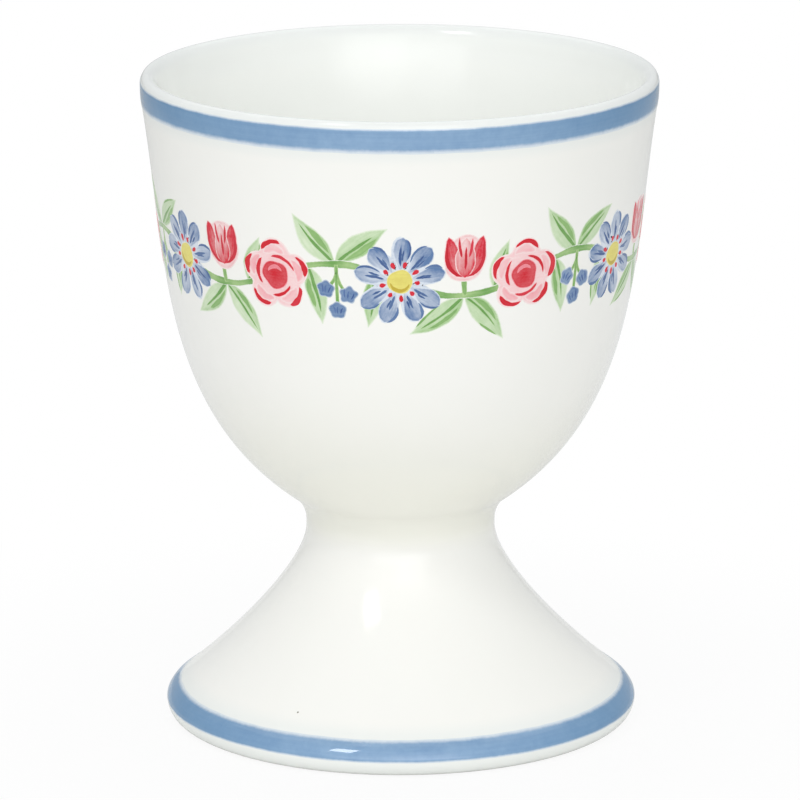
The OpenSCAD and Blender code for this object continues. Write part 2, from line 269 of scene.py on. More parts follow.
def turned(name, rows, closed=False, sharp=(), fields=()):
    """A profile turned round the axis: (r cos a, r sin a, z), a in equal steps.
    A row may give one r and z for all steps or one for each, and so may a field. A first or last row
    at r = 0 becomes a single point."""
    rows = np.asarray(rows, float)
    if rows.ndim == 2:
        rows = np.repeat(rows[:, None], TURNS, 1)
    steps = rows.shape[1]
    run = run_along(rows[:, 0])
    whole = run[-1] + (np.linalg.norm(rows[0, 0] - rows[-1, 0]) if closed else 0)
    share = 2 * MAP_EDGE + (1 - 4 * MAP_EDGE) * run / whole
    first, last = rows[0, 0, 0] == 0, rows[-1, 0, 0] == 0
    rings = rows[int(first):len(rows) - int(last)]
    ring_share = share[int(first):len(rows) - int(last)]
    a = 2 * np.pi * np.arange(steps) / steps
    r, z = rings[..., 0], rings[..., 1]
    points = np.stack([r * np.cos(a), r * np.sin(a), z], -1).reshape(-1, 3)
    i, j = np.meshgrid(np.arange(len(rings) - (not closed)), np.arange(steps), indexing="ij")
    up, on = (i + 1) % len(rings), (j + 1) % steps
    quads = np.stack([i * steps + j, i * steps + on, up * steps + on, up * steps + j], -1).reshape(-1, 4)
    faces = quads.tolist()
    v0 = ring_share[i]
    v1 = np.where(up > i, ring_share[up], 1 - MAP_EDGE)
    u0, u1 = map_u(j, steps), map_u(j + 1, steps)
    corners = [np.stack([np.stack([u0, v0], -1), np.stack([u1, v0], -1),
                         np.stack([u1, v1], -1), np.stack([u0, v1], -1)], 2).reshape(-1, 2)]
    j = np.arange(steps)
    left, mid, right = map_u(j, steps), map_u(j + 0.5, steps), map_u(j + 1, steps)
    row_of = np.repeat(np.arange(len(rings)) + 1, steps)
    if first:
        pole = len(points)
        points = np.vstack([points, [[0, 0, rows[0, 0, 1]]]])
        faces += np.stack([np.full(steps, pole), (j + 1) % steps, j], 1).tolist()
        low, high = np.full(steps, share[0]), np.full(steps, ring_share[0])
        corners.append(np.stack([mid, low, right, high, left, high], 1).reshape(-1, 2))
        row_of = np.append(row_of, 0)
    if last:
        pole, base = len(points), (len(rings) - 1) * steps
        points = np.vstack([points, [[0, 0, rows[-1, 0, 1]]]])
        faces += np.stack([base + j, base + (j + 1) % steps, np.full(steps, pole)], 1).tolist()
        low, high = np.full(steps, ring_share[-1]), np.full(steps, share[-1])
        corners.append(np.stack([left, low, right, low, mid, high], 1).reshape(-1, 2))
        row_of = np.append(row_of, 0)
    spread = {}
    for label, values in dict(fields).items():
        grid = np.broadcast_to(np.reshape(values, (len(rows), -1)), (len(rows), steps))
        poles = [grid[0, :1]] * int(first) + [grid[-1, :1]] * int(last)
        spread[label] = np.concatenate([grid[int(first):len(rows) - int(last)].ravel(), *poles])
    marks = np.array(sorted(sharp), int) + 1 - int(first)
    return made(name, points, faces, np.vstack(corners), spread, np.where(np.isin(row_of, marks), row_of, 0))


def line_round(name, path, low, high, low_share, high_share, seed, ridges=0):
    """A brushed line round the cup: between its two wavering edges the path's radius at each height,
    lifted off the glaze, and back along the inner side. Each edge wavers as a sum of sines. The share
    of an edge scales the distance to it, so that the colour thins out over a wider strip there. The
    film is LINE_LIFT - ridges cos(4 pi (v - GROOVE_AT)) high, v from 0 to 1 across it: two brush ridges."""
    rng = np.random.default_rng(seed)
    a = 2 * np.pi * np.arange(LINE_STEPS) / LINE_STEPS
    waver = [sum(rng.uniform(*WAVER) * MM * np.sin(n * a + rng.uniform(0, 6.28)) for n in WAVES_ROUND)
             for _ in range(2)]
    run = run_along(path)
    ends = np.interp([-low, -high], -path[:, 1], run)
    v = np.linspace(0, 1, LINE_ROWS)[:, None]
    s = (ends[0] + waver[0]) * (1 - v) + (ends[1] + waver[1]) * v
    r, z = np.interp(s, run, path[:, 0]), np.interp(s, run, path[:, 1])
    sides = side_of(np.gradient(path, run, axis=0))
    out = np.stack([np.interp(s, run, sides[:, 0]), np.interp(s, run, sides[:, 1])], -1)
    middle = np.stack([r, z], -1)
    lift = LINE_LIFT - ridges * np.cos(4 * np.pi * (v - GROOVE_AT))
    rows = np.vstack([middle + lift[:, :, None] * out, (middle + SUNK * out)[::-1]])
    rim = np.minimum(low_share * v, high_share * (1 - v)) * np.abs(ends[0] - ends[1]) / MM + 0 * a
    return turned(name, rows, closed=True, sharp=(0, LINE_ROWS - 1, LINE_ROWS, 2 * LINE_ROWS - 1),
                  fields={"rim": np.vstack([rim, rim[::-1]])})


# painted sheets on the glaze
band = np.vstack([belly, waist[1:]])
GARLAND_HALF = STEM_WAVE + max(LEAF_L, DAISY_R, STALK_L + TULIP_H)
GARLAND_Z = RIM_LINE_LOW - GARLAND_GAP - GARLAND_HALF
band_side = side_of(np.gradient(band, axis=0))


def glaze(height):
    """Radius of the glaze and its outward side (r, z) at a height."""
    z = -np.asarray(height)
    return [np.interp(z, -band[:, 1], column) for column in (band[:, 0], band_side[:, 0], band_side[:, 1])]


GARLAND_R = float(glaze(GARLAND_Z)[0])
REPEAT_L = GARLAND_R * REPEAT
rng = np.random.default_rng(11)


def some(low, high):
    """A seeded value between low and high."""
    return float(rng.uniform(low, high))


class Paint:
    """A thin fired-on colour, gathered sheet by sheet. Each sheet is a grid of flat x and y."""

    def __init__(self, name):
        self.name = name
        self.sheets = []

    def lay(self, place, x, y, lift, rim, tone, brush, mark, over):
        """One sheet pushed straight onto the bowl at a place (share, rise, turn): turned clockwise,
        its height is the garland's middle plus rise plus y, its angle the share's plus asin(x / r).
        A grid that would face inwards is laid the other way round. Each next sheet lies a hair higher,
        and over says how far its edges end on colour, not glaze."""
        share, rise, turn = place
        lift = lift + NEXT_LIFT * (len(self.sheets) % LIFTS)
        c, s = np.cos(np.radians(turn)), np.sin(np.radians(turn))
        (x_down, x_over), (y_down, y_over) = np.gradient(x), np.gradient(y)
        if np.sum(x_down * y_over - y_down * x_over) < 0:
            x, y, rim, tone = x[::-1], y[::-1], rim[::-1], (tone + 0 * x)[::-1]
            brush = [b[::-1] for b in brush]
        z = GARLAND_Z + rise + y * c - x * s
        r, out, up = glaze(z)
        a = REPEAT * share + np.arcsin((x * c + y * s) / r)
        grids = []
        for height in (lift, SUNK):
            far, high = r + height * out, z + height * up
            grids.append(np.stack([far * np.sin(a), -far * np.cos(a), high], -1))
        self.sheets.append((grids, rim / MM + 0 * x, tone + 0 * x, over + 0 * x,
                            np.stack([brush[0] / MM, brush[1] / MM, mark + 0 * x], -1)))

    def blade(self, place, spine, half, lift, tone=0.5, across=5, lean=0.0, over=1.0, shake=0.1):
        """A brush stroke: the spine's points plus v times the half width times the spine's side, v from
        -1 to 1, each side's width wavering by shake. The tone changes from side to side by lean."""
        spine, half = np.asarray(spine, float), np.asarray(half, float)
        way = np.gradient(spine, axis=0)
        side = np.stack([way[:, 1], -way[:, 0]], 1) / np.linalg.norm(way, axis=1)[:, None]
        v = np.linspace(-1, 1, across)
        t = np.linspace(0, 1, len(half))[:, None]

        def shaken():
            """One side's width along the stroke: 1 plus shake times a slow and a quick sine."""
            slow = np.sin(some(4, 9) * t + some(0, 6))
            return 1 + shake * (slow + 0.5 * np.sin(some(12, 24) * t + some(0, 6)))

        near, far = shaken(), shaken()
        wide = half[:, None] * np.where(v < 0, near, far)
        x, y = (spine[:, k, None] + wide * v * side[:, k, None] for k in (0, 1))
        run = run_along(spine)[:, None]
        rim = np.minimum((1 - np.abs(v)) * wide, np.minimum(run, run[-1] - run) + 0.02 * MM)
        tone = np.asarray(tone, float).reshape(-1, 1) + lean * v
        self.lay(place, x, y, lift, rim, tone, (run + 0 * v, wide * v), some(0, 9), over)

    def blob(self, place, outline, lift, tone=0.5, steps=9, deep=0.0, over=0.7, shake=0.02):
        """A dab: a square grid drawn out to a disc, whose edge at angle a is outline(a) away from the
        middle, wavering by shake. The tone grows by deep from the edge to the middle."""
        p, q = np.meshgrid(np.linspace(-1, 1, steps), np.linspace(-1, 1, steps), indexing="ij")
        full = np.maximum(np.abs(p), np.abs(q))
        a = np.arctan2(p * np.sqrt(1 - q * q / 2), q * np.sqrt(1 - p * p / 2))
        reach = outline(a) * (1 + shake * (np.sin(2 * a + some(0, 6)) + np.sin(5 * a + some(0, 6))))
        x, y = full * reach * np.sin(a), full * reach * np.cos(a)
        self.lay(place, x, y, lift, (1 - full) * reach, tone + deep * (1 - full), (x, y), some(0, 9), over)

    def fire(self):
        """Joins the sheets: each is its grid on top, the same grid sunk in the glaze and a rim of faces
        between them. Every sheet has its own cell of the bake map."""
        points, faces, corners, sharp = [], [], [], []
        fields = {"rim": [], "tone": [], "over": [], "brush": []}
        columns = int(np.ceil(np.sqrt(len(self.sheets))))
        start = 0
        for n, (grids, rim, tone, over, brush) in enumerate(self.sheets):
            rows, cols = rim.shape
            index = np.arange(rows * cols).reshape(rows, cols)
            square = index[:-1, :-1], index[1:, :-1], index[1:, 1:], index[:-1, 1:]
            top = np.stack(square, -1).reshape(-1, 4)
            loop = np.concatenate([index[:, 0], index[-1, 1:], index[-2::-1, -1], index[0, -2::-1]])
            count = rows * cols
            wall = np.stack([loop[1:], loop[:-1], loop[:-1] + count, loop[1:] + count], 1)
            quads = np.vstack([top, top[:, ::-1] + count, wall])
            faces += (quads + start).tolist()
            points += [grid.reshape(-1, 3) for grid in grids]
            for key, values in zip(fields, (rim.ravel(), tone.ravel(), over.ravel(), brush.reshape(-1, 3))):
                fields[key] += [values, values]
            i, j = np.divmod(np.arange(count), cols)
            flat = np.stack([CELL_EDGE + CELL_W * i / (rows - 1), CELL_EDGE + FACE_H * j / (cols - 1)], 1)
            under = np.stack([flat[:, 0], UNDER_LOW + UNDER_H * j / (cols - 1)], 1)
            k = CELL_EDGE + CELL_W * np.linspace(0, 1, len(loop))
            low, high = np.full(len(wall), WALL_LOW), np.full(len(wall), WALL_HIGH)
            strip = np.stack([k[1:], low, k[:-1], low, k[:-1], high, k[1:], high], 1).reshape(-1, 2)
            cell = np.vstack([flat[top.ravel()], under[top[:, ::-1].ravel()], strip])
            corners.append((cell + [n % columns, n // columns]) / columns)
            edge_mark = np.zeros(2 * count, int)
            edge_mark[loop], edge_mark[loop + count] = 1, 2
            sharp.append(edge_mark)
            start += 2 * count
        return made(self.name, np.vstack(points), faces, np.vstack(corners),
                    {key: np.concatenate(values) for key, values in fields.items()}, np.concatenate(sharp))


def stem_rise(share):
    """Height of the stem above the garland's middle: a sine of one wave to each repeat."""
    return -STEM_WAVE * np.sin(2 * np.pi * share)


def waves(count, root):
    """A flower's edge as a share of its radius: rounded waves between root and 1."""
    return lambda a: root + (1 - root) * np.abs(np.cos(count * a / 2)) ** EDGE_WAVE


def taper(t, fat=0.5, sharpness=1.0):
    """Width along a stroke: a sine bump whose fullest place is moved along by a power, never quite 0."""
    power = np.log(0.5) / np.log(fat)
    return 0.05 + 0.95 * np.sin(np.pi * np.clip(t, 0, 1) ** power) ** sharpness


def swell(steps, fat, sharpness):
    """That width at equal steps from end to end."""
    return taper(np.linspace(0, 1, steps), fat, sharpness)


def bent(start, end, sag, steps):
    """A bowed line from start to end: the straight line plus sag times 4 t (1 - t) to its side."""
    t = np.linspace(0, 1, steps)[:, None]
    start, end = np.asarray(start, float), np.asarray(end, float)
    side = np.array([end[1] - start[1], start[0] - end[0]]) / np.linalg.norm(end - start)
    return start + (end - start) * t + side * sag * 4 * t * (1 - t)


# the garland
stem = Paint("garland_stem_paint")
leaves = Paint("garland_leaf_washes")
veins = Paint("garland_leaf_strokes")
buds = Paint("garland_bud_dabs")
bud_marks = Paint("garland_bud_strokes")
daisies = Paint("garland_daisy_petals")
daisy_marks = Paint("garland_daisy_strokes")
eyes = Paint("garland_daisy_eye_dabs")
stamens = Paint("garland_daisy_stamens")
rosettes = Paint("garland_rosette_washes")
rosette_marks = Paint("garland_rosette_strokes")
hearts = Paint("garland_rosette_heart_dabs")
tulips = Paint("garland_tulip_washes")
tulip_marks = Paint("garland_tulip_strokes")


def paint_stem(k):
    """Two waving runs between the flowers and the stalks of the tulip and the buds."""
    daisy_tuck, rosette_tuck = TUCKED * DAISY_R / REPEAT_L, TUCKED * ROSETTE_R / REPEAT_L
    for low, high in ((DAISY_SHARE + daisy_tuck, ROSETTE_SHARE - rosette_tuck),
                      (ROSETTE_SHARE + rosette_tuck, DAISY_SHARE + 1 - daisy_tuck)):
        mid = (low + high) / 2
        s = np.linspace(low, high, STEM_STEPS)
        spine = np.stack([GARLAND_R * np.sin(REPEAT * (s - mid)), stem_rise(s)], 1)
        stem.blade((k + mid, 0, 0), spine, np.full(STEM_STEPS, STEM_W / 2), STEM_LIFT,
                   0.55 + 0.25 * np.sin(s * 40 + some(0, 6)), over=0, shake=0.14)
    foot = float(stem_rise(TULIP_SHARE))
    stalk = bent((some(-.1, .1) * MM, 0), (0, STALK_L + STALK_W), some(-.15, .15) * MM, 8)
    stem.blade((k + TULIP_SHARE, foot, 0), stalk, np.full(8, STALK_W / 2), STEM_LIFT, 0.6)
    share, rise = BUD_SPOTS[2][0], 0.95 * STEM_WAVE
    for spot in BUD_SPOTS:
        end = ((spot[0] - share) * REPEAT_L, spot[1] * STEM_WAVE - rise)
        stem.blade((k + share, rise, 0), bent((0, 0), end, (spot[0] - share) * 9 * MM, 9),
                   np.full(9, BUD_STALK_HALF), STEM_LIFT, 0.7)


def paint_leaf(k, share, turn, size):
    """A leaf of the solid's outline, y = l t and x = bend l t^2 plus or minus w / 2 sin(pi t^belly),
    fuller in colour on one side, with a vein, a broad stroke on the fuller side and, on some leaves, a
    thin one near the other edge."""
    length, width = size * LEAF_L, size * LEAF_W
    place = (k + share, float(stem_rise(share)), turn + some(-3, 3))
    lean = some(0.2, 0.35) * (1 if rng.random() > 0.4 else -1)
    side = np.sign(lean)

    def along(t, off):
        """The leaf's middle, moved off to a side by a share of its half width."""
        x = LEAF_BEND * length * t * t + off * width / 2 * np.sin(np.pi * t ** LEAF_BELLY)
        return np.stack([x, length * t], 1)

    t = np.linspace(0, 1, 15)
    leaves.blade(place, along(t, 0), width / 2 * np.maximum(np.sin(np.pi * t ** LEAF_BELLY), 0.03),
                 LEAF_LIFT, some(0.2, 0.4) + 0.15 * (1 - t), 7, lean, over=0.5, shake=0.05)
    t = np.linspace(0.02, some(0.72, 0.88), 12)
    veins.blade(place, along(t, some(-.08, .08)), some(*VEIN_HALF) * taper(t / t[-1], 0.35, 0.5),
                VEIN_LIFT, 0.8, shake=0.2)
    t = np.linspace(some(0.1, 0.2), some(0.62, 0.8), 10)
    veins.blade(place, along(t, 0.55 * side), some(*BROAD_VEIN_HALF) * swell(10, 0.5, 0.6),
                VEIN_LIFT, some(0.25, 0.5), shake=0.2)
    if rng.random() > 0.45:
        t = np.linspace(some(0.35, 0.5), some(0.85, 0.94), 9)
        veins.blade(place, along(t, -0.82 * side), some(*EDGE_VEIN_HALF) * swell(9, 0.5, 0.5),
                    VEIN_LIFT, some(0.4, 0.7), shake=0.2)


def paint_bud(k, share, rise):
    """A small dab of five soft lobes with three darker strokes."""
    place = (k + share, rise * STEM_WAVE, some(-30, 30))
    buds.blob(place, lambda a: BUD_R * (0.95 + 0.09 * np.cos(5 * a)), BUD_LIFT, some(0.45, 0.75),
              11, 0.2, shake=0.03)
    for x in (-0.36, 0.02, 0.38):
        start, end = (0.7 * x * MM, some(-.5, -.35) * MM), (x * 1.3 * MM, some(0.25, 0.55) * MM)
        bud_marks.blade(place, bent(start, end, some(-.1, .1) * MM, 6), BUD_STROKE_HALF * swell(6, 0.5, 0.6),
                        STROKE_LIFT, some(0.4, 0.9), 3, shake=0.2)


def ring(radius, sweep):
    """Points on a circle round the middle, at clockwise angles from upright."""
    return np.stack([radius * np.sin(sweep), radius * np.cos(sweep)], 1)


def paint_daisy(k):
    """Nine petals over a pale ground, each a blade from the eye outwards with two strokes along it and
    one along an edge, a yellow eye with a darker stroke, and red stamens between the petals."""
    place = (k + DAISY_SHARE, 0, 0)
    edge = waves(PETALS, PETAL_ROOT)
    daisies.blob(place, lambda a: 0.97 * DAISY_R * edge(a), FLOWER_LIFT, 0.02, 19)
    t = np.linspace(0, 1, 12)
    root = 0.2 * DAISY_R
    for n in range(PETALS):
        turned_to = (place[0], 0, 360 / PETALS * n + some(-3, 3))
        reach = DAISY_R * some(0.95, 1.0)
        y = root + (reach - root) * t
        depth = some(0.3, 0.75)
        spine = np.stack([some(-.15, .15) * MM * t * t, y], 1)
        daisies.blade(turned_to, spine, PETAL_HALF * taper(t, 0.66, 0.62), PETAL_LIFT,
                      0.1 + depth * eased(t * some(1.1, 1.5)), 7, some(-0.3, 0.3), shake=0.07)
        # a stroke's place across the petal, its start and end along it and its half width, all times MM
        middle_stroke = (some(-.14, .04), 1.5, some(3.0, 3.7), 0.15)
        side_stroke = (some(.2, .36), 2.0, some(2.7, 3.3), 0.11)
        for x, low, high, width in (middle_stroke, side_stroke):
            spine = bent((0.6 * x * MM, low * MM), (x * MM, high * MM), some(-.08, .08) * MM, 9)
            daisy_marks.blade(turned_to, spine, width * MM * swell(9, 0.42, 0.55),
                              STROKE_LIFT, some(0.5, 0.95), 3, shake=0.2)
        side = 1 if rng.random() > 0.5 else -1
        s = np.linspace(some(0.3, 0.55), some(0.94, 1.0), 11)
        rim = np.stack([side * PETAL_EDGE * taper(s, 0.66, 0.62), root + (reach - root) * s], 1)
        daisy_marks.blade(turned_to, rim, some(*PETAL_EDGE_HALF) * swell(11, 0.55, 0.5),
                          STROKE_LIFT, some(0.3, 0.8), 3, shake=0.2)
    eyes.blob(place, lambda a: EYE_R * (1 + 0.04 * np.sin(3 * a)), EYE_LIFT, 0.1, 11, 0.15)
    sweep = np.radians(np.linspace(95, 265, 13) + some(-25, 25))
    eyes.blade(place, ring(0.76 * EYE_R, sweep), EYE_STROKE_HALF * swell(13, 0.5, 0.6), DOT_LIFT, 0.95, 3)
    for n in range(PETALS):
        a = np.radians(360 / PETALS * (n + 0.5) + some(-7, 7))
        way = np.array([np.sin(a), np.cos(a)])
        stamens.blade(place, bent(STAMEN_FROM * way, some(*STAMEN_TO) * way, 0, 7),
                      STAMEN_HALF * swell(7, 0.6, 0.5), DOT_LIFT, some(0.7, 1.0), 5)


def paint_rosette(k):
    """A pink wash of five lobes, each with a fold of fuller colour across it and a bold red stroke along
    its edge, three red sweeps round the middle, and a red heart with a paler stroke."""
    place = (k + ROSETTE_SHARE, 0, 0)
    edge = waves(LOBES, LOBE_ROOT)
    rosettes.blob(place, lambda a: 1.03 * ROSETTE_R * edge(a), FLOWER_LIFT, 0.12, 17, 0.3)
    for n in range(LOBES):
        turn = 360 / LOBES * n
        lobe = (place[0], 0, turn + some(-4, 4))
        sweep = np.radians(np.linspace(-29, 29, 12))
        fold = ring(FOLD_R + FOLD_BOW * np.cos(2.6 * sweep), sweep)
        rosettes.blade(lobe, fold, FOLD_HALF * swell(12, 0.5, 0.55), PETAL_LIFT, some(0.35, 0.65), 5, 0.2,
                       shake=0.12)
        low = some(-32, -22)
        sweep = np.radians(np.linspace(low, low + some(38, 54), 13))
        rosette_marks.blade((place[0], 0, turn), ring((ROSETTE_R - LOBE_INSET) * edge(sweep), sweep),
                            some(*LOBE_EDGE_HALF) * swell(13, some(0.4, 0.6), 0.35), STROKE_LIFT,
                            some(0.7, 1), shake=0.2)
    for n in range(3):
        start = 120 * n + some(-12, 12)
        sweep = np.radians(np.linspace(start, start + some(64, 88), 12))
        rosette_marks.blade(place, ring(np.linspace(SWEEP_FROM, SWEEP_TO, 12), sweep),
                            some(*SWEEP_HALF) * swell(12, 0.5, 0.4), STROKE_LIFT, some(0.6, 1), shake=0.18)
    hearts.blob(place, lambda a: HEART_R * (1 + 0.05 * np.sin(3 * a + k)), EYE_LIFT, 0.75, 11, 0.25,
                over=1.0, shake=0.03)
    sweep = np.radians(np.linspace(-75, 55, 12) + some(-15, 15))
    hearts.blade(place, ring(0.58 * HEART_R, sweep), HEART_STROKE_HALF * swell(12, 0.5, 0.6),
                 DOT_LIFT, 0.05, 5)


def paint_tulip(k):
    """A pink halo, two side petals with a stroke along the edge of each, and a front petal, paler
    towards its tip, with three strokes."""
    place = (k + TULIP_SHARE, float(stem_rise(TULIP_SHARE)) + STALK_L, some(-3, 3))
    w, h = TULIP_W / 2, TULIP_H
    middle = (place[0], place[1] + 0.48 * h, place[2])
    tulips.blob(middle, lambda a: np.hypot(1.04 * w * np.sin(a), 0.54 * h * np.cos(a)), BUD_LIFT, 0.06, 11)
    t = np.linspace(0, 1, 13)
    for side in (-1, 1):
        bow = np.sin(np.pi / 2 * np.minimum(1, 1.5 * t + 0.1)) ** 0.8
        spine = np.stack([side * w * (0.64 * bow + 0.22 * t ** 3), (0.08 + 0.9 * t) * h], 1)
        tulips.blade(place, spine, 0.38 * w * taper(t, 0.45, 0.55), FLOWER_LIFT, 0.72 + 0.3 * t,
                     5, 0.15 * side, shake=0.06)
        bow = np.sin(np.pi / 2 * np.minimum(1, 1.7 * t)) ** 0.7
        rim = np.stack([side * w * (0.09 + 0.82 * bow), (0.06 + 0.84 * t ** 1.1) * h], 1)
        tulip_marks.blade(place, rim, TULIP_EDGE_HALF * taper(t, 0.4, 0.4), STROKE_LIFT,
                          some(0.7, 1), 3, shake=0.15)
    front = np.stack([0 * t, (0.03 + 0.93 * t) * h], 1)
    tulips.blade(place, front, 0.5 * w * taper(t, 0.42, 0.7), PETAL_LIFT, 0.85 - 0.62 * eased(t * 1.15),
                 7, 0.12, shake=0.05)
    for x, low, high in ((-0.3, 0.5, 0.95), (0.02, 0.22, 0.74), (0.3, 0.5, 0.93)):
        spine = bent((0.6 * x * w, low * h), (1.1 * x * w, high * h), x * 0.2 * MM, 9)
        tulip_marks.blade(place, spine, TULIP_STROKE_HALF * swell(9, 0.4, 0.45), STROKE_LIFT,
                          some(0.5, 1), 3, shake=0.15)


for repeat in range(REPEATS):
    paint_stem(repeat)
    for spot in LEAF_SPOTS:
        paint_leaf(repeat, *spot)
    for spot in BUD_SPOTS:
        paint_bud(repeat, *spot)
    paint_daisy(repeat)
    paint_rosette(repeat)
    paint_tulip(repeat)


# finishes
def tint(red, green, blue):
    """The linear colour of an 8-bit one, with alpha 1."""
    c = np.array([red, green, blue]) / 255
    c = np.where(c > 0.04045, ((c + 0.055) / 1.055) ** 2.4, c / 12.92)
    return (*[float(v) for v in c], 1.0)


GLOSS, LINE_GLOSS = 0.12, 0.06
GLAZE_INDEX, LINE_INDEX = 1.5, 1.65


class Wire:
    """An output that takes Python's operators: each adds its Math node."""

    def __init__(self, finish, socket):
        self.finish, self.socket = finish, socket

    def math(self, operation, *values):
        """A Math node of these values."""
        return self.finish.add("ShaderNodeMath", {"operation": operation}, dict(enumerate(values)))

    def __add__(self, other):
        return self.math("ADD", self, other)

    def __radd__(self, other):
        return self.math("ADD", other, self)

    def __sub__(self, other):
        return self.math("SUBTRACT", self, other)

    def __rsub__(self, other):
        return self.math("SUBTRACT", other, self)

    def __mul__(self, other):
        return self.math("MULTIPLY", self, other)

    def __rmul__(self, other):
        return self.math("MULTIPLY", other, self)

    def __truediv__(self, other):
        return self.math("DIVIDE", self, other)

    def __rtruediv__(self, other):
        return self.math("DIVIDE", other, self)

    def eased(self, low, high):
        """0 below low, 1 above high and a smooth step between them."""
        return self.finish.add("ShaderNodeMapRange", {"interpolation_type": "SMOOTHSTEP"},
                               {"Value": self, "From Min": low, "From Max": high})

    def held(self):
        """Held between 0 and 1."""
        return self.finish.add("ShaderNodeClamp", {}, {"Value": self})


class Finish:
    """A material whose nodes come from one method."""

    def __init__(self, name):
        self.material = bpy.data.materials.new(name)
        self.material.use_nodes = True
        self.tree = self.material.node_tree
        self.tree.nodes.clear()

    def add(self, kind, settings, sockets, output=0):
        """A node of a kind: first its settings, then the values or links of its sockets."""
        node = self.tree.nodes.new(kind)
        for key, value in settings.items():
            setattr(node, key, value)
        for key, value in sockets.items():
            if isinstance(value, Wire):
                self.tree.links.new(value.socket, node.inputs[key])
            else:
                node.inputs[key].default_value = value
        return Wire(self, node.outputs[output]) if node.outputs else None

    def place(self):
        """A point's own place in the piece, in metres."""
        return self.add("ShaderNodeTexCoord", {}, {}, "Object")

    def axes(self, vector):
        """The x, y and z of a vector."""
        parts = self.add("ShaderNodeSeparateXYZ", {}, {"Vector": vector})
        return [Wire(self, output) for output in parts.socket.node.outputs]

    def scaled(self, vector, by):
        """A vector whose x, y and z are each multiplied by a value of their own."""
        return self.add("ShaderNodeVectorMath", {"operation": "MULTIPLY"}, {0: vector, 1: by})

    def noise(self, vector, scale, detail=2.0, roughness=0.5):
        """Soft random values about 0.5, as many to a unit of the vector as the scale says."""
        sockets = {"Vector": vector, "Scale": scale, "Detail": detail, "Roughness": roughness}
        return self.add("ShaderNodeTexNoise", {}, sockets)

    def field(self, name, output="Fac"):
        """What the mesh keeps at its points under a name."""
        return self.add("ShaderNodeAttribute", {"attribute_name": name}, {}, output)

    def mixed(self, factor, first, second):
        """The first colour at a factor of 0 and the second at 1."""
        return self.add("ShaderNodeMix", {"data_type": "RGBA"}, {0: factor, 6: first, 7: second}, 2)

    def bump(self, height, distance):
        """A normal tilted by the slope of a height from 0 to 1, worth a distance in metres."""
        return self.add("ShaderNodeBump", {}, {"Strength": 1.0, "Distance": distance, "Height": height})

    def glazed(self, colour, roughness, normal=None, index=GLAZE_INDEX):
        """The finished material: a colour under a glaze of some gloss, ripple and refractive index."""
        sockets = {"Base Color": colour, "Roughness": roughness, "IOR": index}
        if normal:
            sockets["Normal"] = normal
        body = self.add("ShaderNodeBsdfPrincipled", {}, sockets)
        self.add("ShaderNodeOutputMaterial", {}, {"Surface": body})
        return self.material


GLAZE = tint(247, 246, 241)
# greyer, warmer glaze round the waist and under the bowl: pooled glaze, partly painted shade and bounce light
GLAZE_POOLED_SHADED = tint(243, 242, 231)
# painted light: the inside of the bowl gets a whiter copy of the glaze
GLAZE_INSIDE_LIT = tint(250, 251, 247)
# greyer glaze over the lip: thin glaze, partly painted shade on the lip top
GLAZE_THIN_SHADED = tint(239, 241, 238)
GLAZE_BESIDE = tint(240, 242, 238)
BARE_CLAY = tint(228, 224, 213)
SPECK = tint(120, 112, 100)
SPECKS = [((-0.01003, -0.01748, 0.00499), 0.00013), ((0.0137, 0.0188, 0.031), 0.0001),
          ((-0.0079, 0.0197, 0.0089), 0.00012)]
POOL_SHADE_UP, POOL_SHADE_DOWN = (0.018, 0.021), (0.024, 0.040)
LIP_SHADE_BAND = (CUP_H - 0.0012, CUP_H - 0.0003)
WIPED = (0.00008, 0.00022)
RIPPLE = 0.00006
LINE_PALE, LINE_FULL = tint(142, 174, 206), tint(118, 154, 192)
# the deep blue at the cup's left and right is painted shade; the fringe is the paint thinning out at the
# edges
LINE_SIDE_SHADE, LINE_FRINGE = tint(55, 120, 165), tint(222, 230, 236)


def porcelain():
    """White glaze with slow drifts of tone, greyer and warmer round the waist and under the bowl (pooled
    glaze, partly painted shade and bounce light), whiter inside as painted light, hazy beside the lines and
    greyer over the lip (thin glaze, partly painted shade), with a few specks, a faint ripple and a bare foot
    ring."""
    coat = Finish("glazed_porcelain")
    place = coat.place()
    z = coat.axes(place)[2]
    drift = coat.noise(place, 55.0, 2.0)
    # painted shade: from the waist up under the bowl the glaze turns greyer and warmer, partly pooled glaze,
    # partly painted shade and bounce light
    pool_shade = z.eased(*POOL_SHADE_UP) * (1 - z.eased(*POOL_SHADE_DOWN))
    colour = coat.mixed((pool_shade + (drift - 0.5) * 0.5).held(), GLAZE, GLAZE_POOLED_SHADED)
    low_haze = 1 - z.eased(FOOT_LINE_TOP, FOOT_LINE_TOP + HAZE)
    high_haze = z.eased(RIM_LINE_LOW - HAZE, RIM_LINE_LOW)
    colour = coat.mixed(low_haze + high_haze, colour, GLAZE_BESIDE)
    # painted light: whiter glaze inside the bowl, from the lip's inner roll down
    colour = coat.mixed(coat.field("inside"), colour, GLAZE_INSIDE_LIT)
    # painted shade: the top 1.2 mm of the lip turns greyer, partly thin glaze, partly painted shade on the
    # lip top
    colour = coat.mixed(z.eased(*LIP_SHADE_BAND), colour, GLAZE_THIN_SHADED)
    for centre, radius in SPECKS:
        away = coat.add("ShaderNodeVectorMath", {"operation": "DISTANCE"}, {0: place, 1: centre}, "Value")
        colour = coat.mixed(1 - away.eased(0.4 * radius, radius), colour, SPECK)
    bare = 1 - z.eased(*WIPED)
    grain = coat.noise(place, 6000.0, 3.0, 0.7)
    clay = coat.mixed(grain, BARE_CLAY, GLAZE)
    colour = coat.mixed(bare, colour, clay)
    ripple = coat.noise(place, 160.0, 2.0)
    normal = coat.bump(ripple, RIPPLE)
    return coat.glazed(colour, GLOSS + bare * 0.5, normal)


